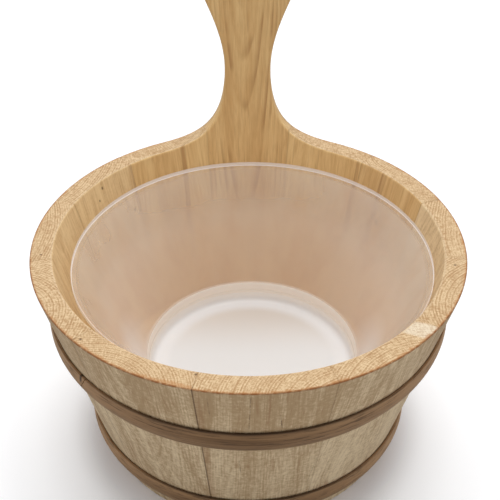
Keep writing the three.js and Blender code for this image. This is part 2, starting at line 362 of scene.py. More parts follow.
grainScales = {
    "sway": (24, 24, 6),
    "arcs": (1800, 420, 30),
    "rays": (320, 1900, 60),
    "wander": (16, 16, 20),
    "fibre": (900, 900, 44),
    "band": (110, 110, 7),
    "streak": (420, 420, 20),
    "pore": (1000, 1000, 90),
    "ripple": (330, 330, 560),
    "drift": (60, 60, 14),
    "vein": (45, 45, 28),
}
grainMasks = ("Ring", "Weave", "Fibre", "Band", "Streak", "Pore", "Ripple")
# The inside tones are lighter than the wood's own colour: painted light for the light bounced round inside
# the bucket
woodTones = {
    "Inside Light": tone(245, 211, 152),
    "Inside Dark": tone(213, 170, 112),
    "Outside Light": tone(238, 215, 178),
    "Outside Dark": tone(184, 154, 116),
    "End Light": tone(227, 199, 158),
    "End Dark": tone(181, 142, 99),
    "Streak Tone": tone(148, 94, 50),
    "Burn Tone": tone(186, 126, 70),
    "Sap Tone": tone(236, 222, 198),
    "Joint Tone": tone(84, 54, 30),
}
woodFinish = {
    "bump": 0.3,
    "bumpDepth": 0.0003,
    "gloss": 0.3,
}


def makeBoardGrain():
    # One board's growth rings round its pith, woven end grain, fibres, broad bands, streaks and pores.
    group, get, put = makeGroup(
        "boardGrain",
        {"Vector": None, "Seed": 0.0, "Pith Distance": 0.04, "Pith Turn": 0.0, "Pith Lean": 0.0,
         "Ring Width": 0.0022, "Wobble": 0.004},
        grainMasks,
    )
    seedPlace = joinParts(get["Seed"], times(get["Seed"], 1.7), times(get["Seed"], 2.3))
    own = vectorMath("ADD", get["Vector"], seedPlace)
    place = partsOf(get["Vector"])
    cosine = addMath("COSINE", get["Pith Turn"])
    sine = addMath("SINE", get["Pith Turn"])
    toward = plus(times(place["X"], cosine), times(place["Y"], sine))
    aside = minus(times(place["Y"], cosine), times(place["X"], sine))
    apart = minus(minus(get["Pith Distance"], toward), times(place["Z"], get["Pith Lean"]))
    # No point counts as nearer to the pith than this
    nearest = 0.007
    apart = larger(apart, nearest)
    sway = times(minus(addNoise(own, grainScales["sway"], 3.0), 0.5), get["Wobble"])
    distance = plus(span(apart, aside), sway)
    # Each ring darkens slowly, ends sharply and has a force of its own
    ringCount = addMath("DIVIDE", distance, get["Ring Width"])
    phase = addMath("FRACT", ringCount)
    ring = times(addRamp(phase, 0.2, 0.85), addRamp(phase, 0.85, 1.0, 1.0, 0.0))
    ringPlace = joinParts(addMath("FLOOR", ringCount), get["Seed"])
    ringForce = addRamp(addNoise(ringPlace, (0.73, 9.1, 1), 0.0), 0.3, 0.7, 0.25, 1.0)
    # The weave: short arcs along the rings, crossed by rays that run out from the pith
    arc = times(addMath("ARCTAN2", aside, apart), get["Pith Distance"])
    woven = vectorMath("ADD", joinParts(distance, arc, place["Z"]), seedPlace)
    arcs = addNoise(woven, grainScales["arcs"], 2.0, 0.6)
    rays = addNoise(woven, grainScales["rays"], 2.0, 0.6)
    # The fibres wander a little from the board's length
    wander = 0.008
    astray = times(minus(addNoise(own, grainScales["wander"]), 0.5), wander)
    bent = vectorMath("ADD", own, joinParts(astray, astray))
    feed(put, {
        "Ring": times(ring, ringForce),
        "Weave": plus(minus(arcs, 0.5), minus(rays, 0.5)),
        "Fibre": addNoise(bent, grainScales["fibre"], 4.0, 0.66),
        "Band": addNoise(bent, grainScales["band"], 3.0),
        "Streak": addRamp(addNoise(bent, grainScales["streak"]), 0.58, 0.72),
        "Pore": addRamp(addNoise(bent, grainScales["pore"], 1.0), 0.64, 0.78),
        "Ripple": addNoise(own, grainScales["ripple"], 4.0, 0.7),
    })
    return group


def makeBucketPlace():
    # Where a point lies on the bucket: its radius, its height and its depth under the outer face.
    group, get, put = makeGroup("bucketPlace", {"Vector": None}, ("Radius", "Height", "Depth"))
    place = partsOf(vectorMath("SUBTRACT", get["Vector"], tuple(bucketAxis)))
    radius = span(place["X"], place["Y"])
    outer = timesPlus(place["Z"], wallSlope, wall["footRadius"])
    feed(put, {"Radius": radius, "Height": place["Z"], "Depth": minus(outer, radius)})
    return group


def makeStaveWood():
    # The stave's colour, roughness and surface height from the grain's masks and the face it lies on.
    masks = grainMasks + ("End Grain", "Outside", "Heart", "Sap", "Burn", "Rim Edge Line", "Joint")
    group, get, put = makeGroup(
        "staveWood",
        {**dict.fromkeys(masks, 0.0), "Shade": 0.5, "Ring Contrast": 0.3, **woodTones},
        ("Color", "Roughness", "Height"),
    )
    longGrain = plus(times(get["Fibre"], 0.45), times(get["Band"], 0.9))
    longGrain = plus(longGrain, times(get["Ring"], get["Ring Contrast"]))
    longGrain = plus(longGrain, minus(get["Shade"], 0.5))
    longGrain = timesPlus(get["Weave"], 0.5, longGrain)
    longGrain = timesPlus(times(minus(get["Ripple"], 0.5), get["Outside"]), 1.1, longGrain)
    inside = addBlend(addRamp(longGrain, 0.22, 1.18), get["Inside Light"], get["Inside Dark"])
    outside = addBlend(addRamp(longGrain, 0.38, 1.18), get["Outside Light"], get["Outside Dark"])
    face = addBlend(get["Outside"], inside, outside)
    streak = larger(times(get["Streak"], 0.3), times(get["Pore"], 0.28))
    streak = times(streak, addRamp(get["Outside"], 0.0, 1.0, 0.6, 1.0))
    face = addBlend(larger(streak, get["Heart"]), face, get["Streak Tone"])
    endGrain = timesPlus(get["Weave"], 1.5, times(get["Ring"], 0.45))
    endGrain = plus(endGrain, times(get["Band"], 0.5))
    end = addBlend(addRamp(endGrain, -0.08, 0.82), get["End Light"], get["End Dark"])
    end = addBlend(get["Sap"], end, get["Sap Tone"])
    end = addBlend(get["Burn"], end, get["Burn Tone"])
    whole = addBlend(get["End Grain"], face, end)
    whole = addBlend(get["Rim Edge Line"], whole, get["Streak Tone"])
    height = timesPlus(get["Pore"], -0.7, get["Fibre"])
    height = timesPlus(get["Weave"], -0.5, height)
    feed(put, {
        "Color": addBlend(get["Joint"], whole, get["Joint Tone"]),
        "Roughness": timesPlus(get["End Grain"], 0.12, timesPlus(get["Fibre"], 0.2, 0.52)),
        "Height": timesPlus(get["Joint"], -1.5, height),
    })
    return group


boardGrain = makeBoardGrain()
bucketPlace = makeBucketPlace()
staveWood = makeStaveWood()


# The rim's burnt fringe, dark edge line and pale inner edge, joint lines and painted shade on the wall, in
# metres
edgeWear = {
    "raggedReach": 0.0022,
    "wavyReach": 0.0034,
    "ringReach": 0.0006,
    "fringeBack": 0.0013,
    "fringeSoft": (-0.0006, 0.0010),
    "patchReach": 0.0016,
    "edgeLineReach": (0.0012, 0.0006),
    "paleEdge": (-0.0016, -0.0006),
    "paleForce": 0.15,
    "jointReach": (0.0007, 0.0001),
    "outerFace": (0.004, 0.002),
    "wallShadeRise": (0.09, 0.125),
    "wallShadeForce": 0.2,
}


def makeStaveMaterial(name, turn, halfTurn, board):
    # One stave's wood. The turn is in degrees, and half the stave's own turn in radians.
    material, tree, shader, source = startMaterial(name)
    spot = source["Object"]
    angle = math.radians(turn)
    outward = Vector((math.cos(angle), math.sin(angle), 0))
    # The board's own directions: X out of the face, Y across, Z along the grain
    spinBack = Matrix.Rotation(math.radians(board["twist"]), 3, "X") @ Matrix.Rotation(-wallLean, 3, "Y")
    spinBack = spinBack @ Matrix.Rotation(-angle, 3, "Z")
    plank = moveVector(spot, -(spinBack @ (bucketAxis + outward * innerRadius(0))), spinBack.to_euler())
    grain = useGroup(tree, boardGrain, {
        "Vector": plank, "Seed": board["seed"], "Pith Distance": board["pithDistance"],
        "Pith Turn": board["pithTurn"], "Pith Lean": board["pithLean"], "Ring Width": board["ringWidth"],
        "Wobble": board["wobble"],
    })
    place = useGroup(tree, bucketPlace, {"Vector": spot})
    height = place["Height"]
    depth = place["Depth"]
    fibreWay = outward * math.sin(wallLean) + Vector((0, 0, math.cos(wallLean)))
    facing = vectorMath("DOT_PRODUCT", source["Normal"], tuple(fibreWay), "Value")
    endShare = addRamp(addMath("ABSOLUTE", facing), 0.55, 0.95)
    outside = addRamp(depth, *edgeWear["outerFace"])
    turned = moveVector(spot, -(Matrix.Rotation(-angle, 3, "Z") @ bucketAxis), (0, 0, -angle))
    own = partsOf(turned)
    side = addMath("ARCTAN2", own["Y"], own["X"])
    sideTurn = addMath("DEGREES", side)
    # The burnt fringe and a thin dark line at the rim's outer edge
    ragged = addNoise(spot, (360, 360, 360), 3.0)
    wavy = addNoise(spot, (120, 120, 120))
    fringe = plus(times(ragged, edgeWear["raggedReach"]), times(wavy, edgeWear["wavyReach"]))
    fringe = timesPlus(grain["Ring"], edgeWear["ringReach"], minus(fringe, edgeWear["fringeBack"]))
    patch = addStripe(sideTurn, board["burnAt"], 1.5, 9.0, edgeWear["patchReach"])
    fringe = plus(minus(fringe, depth), patch)
    burn = times(addRamp(fringe, *edgeWear["fringeSoft"]), board["burn"])
    burn = times(burn, addRamp(ragged, 0.3, 0.6, 0.55, 1.0))
    corner = plus(addMath("ABSOLUTE", minus(wall["height"], height)), depth)
    edgeLine = times(addRamp(corner, *edgeWear["edgeLineReach"]), addRamp(ragged, 0.3, 0.6, 0.35, 0.95))
    # The joint lines down both sides of the stave, each with its own force
    gap = times(minus(halfTurn, addMath("ABSOLUTE", side)), place["Radius"])
    line = addRamp(gap, *edgeWear["jointReach"])
    lineForce = addRamp(side, -0.01, 0.01, *board["joints"])
    broken = addRamp(wavy, 0.42, 0.62, 0.15, 0.8)
    lineForce = times(lineForce, addRamp(endShare, 0.0, 1.0, 1.0, broken))
    lineForce = times(lineForce, addRamp(outside, 0.0, 1.0, 0.35, 1.0))
    joint = times(line, lineForce)
    # Cracks, dots and knots: each has its turn from the stave's middle, and its place in height or depth
    frayed = addRamp(ragged, 0.38, 0.56, 0.25, 1.0)
    for crackTurn, low, high, slant, force in board["cracks"]:
        run = times(minus(height, low), slant)
        across = addStripe(minus(sideTurn, run), crackTurn, 0.06, 0.16)
        along = addStripe(height, (low + high) / 2, (high - low) / 2 - 0.004, 0.004)
        crack = times(times(across, along), times(frayed, force))
        joint = larger(joint, times(crack, outside))
    for dotTurn, dotDepth, reach in board["dots"]:
        across = addStripe(sideTurn, dotTurn, 0.1, reach)
        deep = addStripe(depth, dotDepth, 0.0002, reach * 0.0022)
        joint = larger(joint, times(times(times(across, deep), endShare), 0.8))
    for knotTurn, knotHeight, reach, force in board["knots"]:
        across = addStripe(sideTurn, knotTurn, 0.1, reach)
        up = addStripe(height, knotHeight, 0.0002, reach * 0.0026)
        knot = times(times(across, up), force)
        joint = larger(joint, times(knot, addRamp(outside, 1.0, 0.0)))
    # A brown heart stripe and veins down the faces, and a pale sap patch on the end grain
    drift = times(minus(addNoise(plank, grainScales["drift"]), 0.5), 3.0)
    heart = addStripe(plus(sideTurn, drift), board["heartAt"], board["heartHalf"], 0.5)
    heart = times(heart, addRamp(grain["Band"], 0.3, 0.6, board["heart"] * 0.4, board["heart"]))
    vein = times(grain["Ring"], addRamp(addNoise(plank, grainScales["vein"]), 0.45, 0.62))
    heart = larger(heart, times(vein, board["vein"]))
    sap = addStripe(timesPlus(depth, 180, sideTurn), board["sapAt"], board["sapHalf"], 1.3)
    sap = times(sap, addRamp(grain["Weave"], -0.15, 0.15, 0.8, 0.4))
    inward = minus(depth, wall["thickness"])
    sap = larger(sap, addRamp(inward, *edgeWear["paleEdge"], 0.0, edgeWear["paleForce"]))
    # Painted shade: the outer wall darkens from above the upper hoop towards the rim
    paintedWallShade = addRamp(height, *edgeWear["wallShadeRise"], 0.0, edgeWear["wallShadeForce"])
    look = useGroup(tree, staveWood, {
        **{mask: grain[mask] for mask in grainMasks},
        "End Grain": endShare, "Outside": larger(outside, board["fade"]), "Heart": heart, "Sap": sap,
        "Burn": burn, "Rim Edge Line": edgeLine, "Joint": joint, "Ring Contrast": board["ringContrast"],
        "Shade": timesPlus(paintedWallShade, outside, board["shade"]),
    })
    wearLook(shader, look, woodFinish)
    return material


rng = random.Random(41)


def pickBoard(fixed):
    # One board's own values: some drawn, some plain, and those in fixed as given.
    board = {
        "seed": rng.uniform(-0.5, 0.5),
        "twist": rng.uniform(-2.0, 2.0),
        "pithDistance": rng.uniform(0.040, 0.060),
        "pithTurn": rng.uniform(-0.5, 0.5),
        "pithLean": rng.uniform(-0.08, 0.08),
        "ringWidth": rng.uniform(0.0013, 0.0017),
        "ringContrast": 0.12,
        "wobble": 0.004,
        "burn": rng.uniform(0.4, 0.8),
        "burnAt": 90.0,
        "joints": (0.3, 0.3),
        "shade": rng.uniform(0.42, 0.58),
        "heartAt": 0.0,
        "heartHalf": 1.5,
        "heart": 0.0,
        "vein": 0.0,
        "sapAt": 90.0,
        "sapHalf": 2.4,
        "cracks": (),
        "dots": (),
        "knots": (),
        "fade": 0.0,
    }
    return {**board, **fixed}


# Each joint's darkness, anticlockwise from the handle's left side seen from above
jointForces = (0.35, 0.2, 0.5, 0.2, 0.3, 0.6, 0.15, 0.1, 0.3, 0.6, 0.5, 0.5)

# What shows on each board. A crack has its turn, low and high end, slant and force. A dot has its turn, depth
# and reach. A knot has its turn, height, reach and force. Turns are degrees from the board's middle.
boards = {
    0: {"heartAt": -5.5, "heartHalf": 0.6, "heart": 0.5, "shade": 0.5},
    1: {
        "pithDistance": 0.11, "pithTurn": 0.3, "shade": 0.38, "fade": 0.35,
        "heartAt": -13.4, "heartHalf": 0.4, "heart": 0.3,
        "knots": ((-0.4, 0.139, 0.5, 0.8), (2.3, 0.1325, 0.35, 0.7), (-11.5, 0.1134, 0.7, 0.6)),
    },
    2: {"pithDistance": 0.13, "pithTurn": 0.1, "fade": 0.4, "dots": ((11.9, 0.0068, 0.35),)},
    3: {"pithDistance": 0.030, "pithTurn": 0.1, "fade": 0.45},
    4: {
        "pithDistance": 0.052, "pithTurn": -0.05, "pithLean": 0.10, "ringContrast": 0.2,
        "burn": 0.55, "burnAt": 11.0, "dots": ((16.3, 0.011, 0.4), (-15.4, 0.0040, 0.4)),
    },
    5: {
        "pithDistance": 0.060, "pithTurn": 0.9, "pithLean": 0.03, "burn": 0.6, "shade": 0.6,
        "heartAt": -15.5, "heartHalf": 0.6, "heart": 0.3,
        "cracks": (
            (-3.9, 0.108, 0.143, 12.0, 0.5), (4.4, 0.108, 0.124, -55.0, 0.8),
            (-6.2, 0.060, 0.078, -25.0, 0.5), (-13.2, 0.118, 0.140, -6.0, 0.35),
            (15.1, 0.040, 0.070, 38.0, 0.35),
        ),
    },
    6: {"pithDistance": 0.05, "pithTurn": 0.0, "pithLean": -0.05, "fade": 0.5, "sapAt": 13.4, "sapHalf": 2.2},
    7: {"pithDistance": 0.048, "pithTurn": 0.05, "fade": 0.75, "dots": ((11.6, 0.0073, 0.4),)},
    8: {"pithDistance": 0.13, "pithTurn": -0.2, "fade": 0.7, "shade": 0.42},
    9: {
        "fade": 0.1, "heartAt": 4.5, "heartHalf": 0.7, "heart": 0.6, "shade": 0.62,
        "knots": ((2.8, 0.111, 1.0, 1.0),),
    },
    10: {
        "shade": 0.46, "heartAt": -12.5, "heartHalf": 0.5, "heart": 0.45,
        "knots": ((-10.1, 0.0844, 1.3, 1.0),),
    },
    "handle": {
        "pithDistance": 0.032, "pithTurn": math.pi, "pithLean": 0.05, "ringWidth": 0.0018, "wobble": 0.003,
        "shade": 0.57, "vein": 0.45, "burn": 0.0, "twist": 0.6,
    },
}


# Plain staves


def easeJointEdges(bm, turns):
    # Takes the sharpness off the edges round the joint faces.
    near = 0.00001

    def liesAt(vert, turn):
        angle = math.atan2(vert.co.y, vert.co.x) % math.tau
        return abs(angle - turn % math.tau) * vert.co.length < near

    joints = [
        edge for edge in bm.edges if any(all(liesAt(vert, turn) for vert in edge.verts) for turn in turns)
    ]
    softenEdges(bm, joints, wall["jointEase"])


def staveStart(i):
    # The turn at which a stave starts, in degrees. Stave 0 is the left shoulder.
    return 90 + wall["handleOffset"] + wall["handleWidth"] / 2 + sum(staveTurns[:i])


def makePlainStaves():
    top = wall["height"]
    low = wall["crozeLow"]
    high = wall["crozeHigh"]
    groove = wall["crozeDepth"]
    outline = easedOutline([
        (innerRadius(0), 0, wall["footEase"]),
        (outerRadius(0), 0, wall["footEase"]),
        (outerRadius(top), top, wall["rimEase"]),
        (innerRadius(top), top, wall["innerRimEase"]),
        (innerRadius(high), high, 0),
        (innerRadius(high) + groove, high, 0),
        (innerRadius(low) + groove, low, 0),
        (innerRadius(low), low, 0),
    ])
    for i in range(1, len(staveTurns) - 1):
        gapTurn = wall["jointGap"] / 2 / wall["rimRadius"]
        first = math.radians(staveStart(i)) + gapTurn
        sweep = math.radians(staveTurns[i]) - gapTurn * 2
        bm = spinOutline(outline, first, sweep, wall["arcSteps"])
        easeJointEdges(bm, (first, first + sweep))
        number = str(i).zfill(2)
        turn = staveStart(i) + staveTurns[i] / 2
        board = pickBoard({"joints": jointForces[i:i + 2], **boards[i]})
        material = makeStaveMaterial("staveWood" + number, turn, math.radians(staveTurns[i] / 2), board)
        finishPiece(bm, "plainStave" + number, material, "bucket", ["stave_" + number])


makePlainStaves()
print("plain staves made")


# The handle and the two shoulder staves beside it. The handle stands 0.25 mm lower than the solid one, so
# that its rounded crown stays inside the solid's box.

handle = {
    "height": 0.12075,
    "neckHeight": 0.0491,
    "neckHalfWidth": 0.0156,
    "sweepReach": 0.05946,
    "sweepRimPull": 0.0312,
    "sweepNeckPull": 0.0351,
    "flareHeight": 0.104,
    "flareHalfWidth": 0.03272,
    "flareNeckPull": 0.0202,
    "flareTopPull": 0.0159,
    "flareLean": 23.1,
    "cornerPull": 0.009,
    "crownPull": 0.0268,
    "ease": 0.0022,
    "easeRun": 0.030,
    "rowDip": 0.005,
    "outerDip": 0.4,
    "rimRows": 5,
    "spareTurn": 2,
    "curveSteps": 22,
    "columns": 36,
    "roundSteps": 5,
}


def curvePoint(points, t):
    # A point of a cubic curve, and the way it runs.
    start, out, back, end = (Vector(point) for point in points)
    left = 1 - t
    place = start * left ** 3 + out * 3 * t * left ** 2 + back * 3 * t ** 2 * left + end * t ** 3
    way = (out - start) * left ** 2 + (back - out) * 2 * t * left + (end - back) * t ** 2
    return place, way.normalized()


def handleRows():
    # Rows from the foot to the crown: right end, way out, ease, rise of the middle, croze depth.
    # The spare turn carries the rows past the shoulders, where they are cut off.
    rim = wall["height"]
    neck = rim + handle["neckHeight"]
    flare = rim + handle["flareHeight"]
    top = rim + handle["height"]
    lean = math.tan(math.radians(handle["flareLean"]))
    half = math.radians(wall["handleWidth"] / 2 + max(staveTurns[0], staveTurns[-1]) + handle["spareTurn"])
    right = Vector((1, 0))
    rows = []

    def addRow(height, notch):
        end = Vector((outerRadius(height) * math.sin(half), height))
        rows.append((end, right, wall["footEase"], 0.0, notch))

    for k in range(handle["roundSteps"] + 1):
        addRow(wall["footEase"] * k / handle["roundSteps"], 0.0)
    for key, notch in (("crozeLow", 0), ("crozeLow", 1), ("crozeHigh", 1), ("crozeHigh", 0)):
        addRow(wall[key], notch * wall["crozeDepth"])
    rimEnd = Vector((wall["rimRadius"] * math.sin(half), rim))
    up = Vector((0, 1))
    reach = handle["sweepReach"]
    for k in range(handle["rimRows"]):
        share = k / handle["rimRows"]
        dip = handle["rowDip"] * (1 + handle["outerDip"] * (1 - share))
        rows.append((rimEnd.lerp(Vector((reach, rim)), share), up, wall["rimEase"], -dip, 0.0))
    thin = handle["neckHalfWidth"]
    wide = handle["flareHalfWidth"]
    topPull = handle["flareTopPull"]
    cornerPull = handle["cornerPull"]
    curves = (
        ((reach, rim), (reach - handle["sweepRimPull"], rim),
         (thin, neck - handle["sweepNeckPull"]), (thin, neck)),
        ((thin, neck), (thin, neck + handle["flareNeckPull"]),
         (wide - topPull * lean, flare - topPull), (wide, flare)),
        ((wide, flare), (wide + cornerPull * lean, flare + cornerPull),
         (handle["crownPull"], top), (0.0, top)),
    )
    steps = handle["curveSteps"]
    for c, curve in enumerate(curves):
        # Only the last curve has a row at its end, since each other one ends where the next one starts
        for k in range(steps if c < len(curves) - 1 else steps + 1):
            t = k / steps
            place, way = curvePoint(curve, t)
            rise = max(place.y - rim, 0)
            share = min(rise / handle["easeRun"], 1)
            share = share * share * (3 - 2 * share)
            ease = wall["rimEase"] + (handle["ease"] - wall["rimEase"]) * share
            middle = t * handle["neckHeight"] - (1 - t) * handle["rowDip"]
            bulge = middle - rise if c == 0 else 0.0
            rows.append((place, Vector((way.y, -way.x)), ease, bulge, 0.0))
    return rows


def ringPlaces():
    # Once round a row's section: side from -1 to 1, share of the depth, depth eases and inset eases.
    columns = handle["columns"]
    arc = [math.pi / 2 * k / handle["roundSteps"] for k in range(handle["roundSteps"] + 1)]
    places = [(-1 + 2 * k / columns, 0, 0, 1) for k in range(columns + 1)]
    places += [(1, 0, 1 - math.cos(angle), 1 - math.sin(angle)) for angle in arc[1:]]
    places += [(1, 1, math.sin(angle) - 1, 1 - math.cos(angle)) for angle in arc]
    places += [(1 - 2 * k / columns, 1, 0, 1) for k in range(1, columns + 1)]
    places += [(-1, 1, math.cos(angle) - 1, 1 - math.sin(angle)) for angle in arc[1:]]
    places += [(-1, 0, 1 - math.sin(angle), 1 - math.cos(angle)) for angle in arc[:-1]]
    return places + places[:1]


def handlePoint(row, place):
    end, outward, ease, bulge, notch = row
    side, deep, easeShare, insetShare = place
    depth = wall["thickness"] * deep + ease * easeShare
    corner = end - outward * ease * insetShare
    height = corner.y + bulge * (1 - side * side)
    if deep == 0 and insetShare == 1:
        depth += notch
    turn = side * math.asin(corner.x / (innerRadius(corner.y) + depth))
    radius = innerRadius(height) + depth
    return Vector((radius * math.sin(turn), radius * math.cos(turn), height))


def makeBackWall():
    # A grid wrapped round the rows, closed at the seam and the foot. The last row closes the crown.
    rows = handleRows()
    places = ringPlaces()
    bm = bmesh.new()
    bmesh.ops.create_grid(bm, x_segments=len(places) - 1, y_segments=len(rows) - 1, size=1)
    for vert in bm.verts:
        column = round((vert.co.x + 1) / 2 * (len(places) - 1))
        level = round((vert.co.y + 1) / 2 * (len(rows) - 1))
        vert.co = handlePoint(rows[level], places[column])
    bmesh.ops.remove_doubles(bm, verts=bm.verts[:], dist=weldReach * 2)
    bmesh.ops.dissolve_degenerate(bm, edges=bm.edges[:], dist=weldReach * 2)
    openEdges = [edge for edge in bm.edges if edge.is_boundary]
    bmesh.ops.holes_fill(bm, edges=openEdges, sides=0)
    turn = Matrix.Rotation(math.radians(wall["handleOffset"]), 4, "Z")
    bmesh.ops.transform(bm, matrix=turn, verts=bm.verts[:])
    return bm


def cutAtTurn(bm, turn, keepAhead):
    # Cuts at an upright plane through the bucket's axis and closes the cut.
    normal = Vector((-math.sin(turn), math.cos(turn), 0))
    if not keepAhead:
        normal = -normal
    cutAway(bm, normal * wall["jointGap"] / 2, normal)


def makeHandleStaves():
    middle = 90 + wall["handleOffset"]
    half = wall["handleWidth"] / 2
    last = len(staveTurns) - 1
    whole = makeBackWall()
    left = staveTurns[0] / 2
    right = staveTurns[-1] / 2
    pieces = (
        ("handleStave", "handle_stave", middle, half, "handle", (jointForces[-1], jointForces[0])),
        ("shoulderStaveLeft", "shoulder_stave_left", middle + half + left, left, 0, jointForces[:2]),
        ("shoulderStaveRight", "shoulder_stave_right", middle - half - right, right, last, jointForces[-2:]),
    )
    for name, node, turn, reach, key, joints in pieces:
        bm = whole.copy()
        cutAtTurn(bm, math.radians(turn - reach), True)
        cutAtTurn(bm, math.radians(turn + reach), False)
        board = pickBoard({"joints": joints, **boards[key]})
        material = makeStaveMaterial(name + "Wood", turn, math.radians(reach), board)
        finishPiece(bm, name, material, "bucket", [node])
    whole.free()


makeHandleStaves()
print("handle and shoulder staves made")


# The bottom board

bottom = {
    "thickness": 0.012,
    "lip": 0.006,
    "top": 0.0381,
    "clearance": 0.0003,
    "planks": 3,
    "gap": 0.00012,
    "ease": 0.0004,
    "steps": 144,
    "pithDistance": 0.06,
    "pithLean": 0.03,
    "ringWidth": 0.0026,
    "seedStep": 0.31,
    "firstShade": 0.46,
    "shadeStep": 0.05,
}


def makePlankMaterial(name, seed, shade):
    material, tree, shader, source = startMaterial(name)
    # Grain along Y: X goes out of the face, Y across and Z along the plank.
    plank = moveVector(source["Object"], (0, 0, 0), (math.radians(90), 0, math.radians(90)))
    grain = useGroup(tree, boardGrain, {
        "Vector": plank, "Seed": seed, "Pith Distance": bottom["pithDistance"],
        "Pith Lean": bottom["pithLean"], "Ring Width": bottom["ringWidth"],
    })
    look = useGroup(tree, staveWood, {**{mask: grain[mask] for mask in grainMasks}, "Shade": shade})
    wearLook(shader, look, woodFinish)
    return material


def makeBottomPlanks():
    top = bottom["top"]
    ease = bottom["ease"]
    gap = bottom["gap"]
    underside = top - bottom["thickness"]
    centre = (top + underside) / 2
    lipLow = centre - bottom["lip"] / 2
    lipHigh = centre + bottom["lip"] / 2
    bodyRadius = innerRadius(underside) - bottom["clearance"]
    lipRadius = innerRadius(lipLow) + wall["crozeDepth"] - bottom["clearance"]
    outline = easedOutline([
        (0, underside, 0),
        (bodyRadius, underside, ease),
        (bodyRadius, lipLow, 0),
        (lipRadius, lipLow, ease),
        (lipRadius, lipHigh, ease),
        (bodyRadius, lipHigh, 0),
        (bodyRadius, top, ease),
        (0, top, 0),
    ])
    disc = turnOutline(outline, bottom["steps"])
    pitch = lipRadius * 2 / bottom["planks"]
    for i in range(bottom["planks"]):
        bm = disc.copy()
        low = -lipRadius + i * pitch
        for place, way in ((low, 1), (low + pitch, -1)):
            if abs(place) > lipRadius - gap:
                continue
            edges = cutAway(bm, (place + way * gap / 2, 0, 0), (way, 0, 0))
            softenEdges(bm, edges, ease)
        number = str(i + 1)
        shade = bottom["firstShade"] + bottom["shadeStep"] * i
        material = makePlankMaterial("plankWood" + number, bottom["seedStep"] * (i + 1), shade)
        finishPiece(bm, "bottomPlank" + number, material, "bucket", ["bottom_plank_" + number])
    disc.free()


makeBottomPlanks()
print("bottom planks made")


# The hoops

hoop = {
    "height": 0.017,
    "edgeStand": 0.0014,
    "crown": 0.0023,
    "clearance": 0.0003,
    "upperTop": 0.1067,
    "lowerTop": 0.028,
    "upperJoint": 220.0,
    "lowerJoint": 52.0,
    "jointGap": 0.0005,
    "slant": 28.0,
    "edgeEase": 0.0007,
    "crownSteps": 10,
    "steps": 180,
    "bump": 0.4,
    "bumpDepth": 0.0002,
    "gloss": 0.25,
}
hoopTones = {
    "Light": tone(146, 112, 77),
    "Dark": tone(85, 59, 36),
    "Sheen Tone": tone(202, 161, 120),
    "Lit Edge Tone": tone(172, 140, 106),
    "Dark Mark And Shadow Tone": tone(46, 31, 20),
}


def makeHoopWood():
    # Bent strip: colour, roughness and height from the turn round the axis, the height and the depth.
    group, get, put = makeGroup(
        "hoopWood",
        {"Vector": None, "Top": 0.1, "Drop": 0.017, "Seed": 0.0, "Joint": 0.0, **hoopTones},
        ("Color", "Roughness", "Height"),
    )
    place = partsOf(get["Vector"])
    radius = span(place["X"], place["Y"])
    turn = addMath("ARCTAN2", place["Y"], place["X"])
    strip = joinParts(timesPlus(turn, 0.12, get["Seed"]), radius, place["Z"])
    fibre = addNoise(strip, (24, 600, 900), 4.0, 0.62)
    band = addNoise(strip, (7, 150, 230), 3.0)
    pore = addRamp(addNoise(strip, (60, 800, 1000), 3.0, 0.65), 0.52, 0.66)
    mixed = timesPlus(band, 0.75, times(fibre, 0.65))
    wood = addBlend(addRamp(mixed, 0.45, 0.95), get["Light"], get["Dark"])
    # Painted sheen: the strip is darkest at the front and paler towards the sides, where it catches the light
    fromFront = addMath("ARCCOSINE", addMath("DIVIDE", times(place["Y"], -0.999), radius))
    sheenShare = addMath("MINIMUM", times(fromFront, 0.72), 0.72)
    wood = addBlend(sheenShare, wood, get["Sheen Tone"])
    wood = addBlend(times(pore, 0.55), wood, get["Dark Mark And Shadow Tone"])
    # How far down the strip, from 0 at its top to 1. A painted shadow of the gap darkens its top, less so at
    # the sides
    under = addMath("DIVIDE", minus(get["Top"], place["Z"]), get["Drop"])
    under = timesPlus(minus(fibre, 0.5), 0.12, under)
    groove = addRamp(under, 0.05, 0.0, 0.0, addRamp(fromFront, 0.3, 0.9, 0.75, 0.3))
    wood = addBlend(groove, wood, get["Dark Mark And Shadow Tone"])
    # Painted light from below: the strip pales towards the bottom and most along its lower edge
    wood = addBlend(addRamp(under, 0.3, 1.0, 0.0, 0.25), wood, get["Lit Edge Tone"])
    wood = addBlend(addRamp(under, 0.88, 0.97, 0.0, 0.7), wood, get["Lit Edge Tone"])
    # A dark bruise at the top of the joint
    bruise = addStripe(times(minus(turn, get["Joint"]), radius), 0.0005, 0.0004, 0.0012)
    bruise = times(bruise, addRamp(under, 0.34, 0.16, 0.0, 0.85))
    feed(put, {
        "Color": addBlend(bruise, wood, get["Dark Mark And Shadow Tone"]), "Roughness": timesPlus(fibre, 0.2, 0.45),
        "Height": timesPlus(pore, -0.8, fibre),
    })
    return group


hoopWood = makeHoopWood()


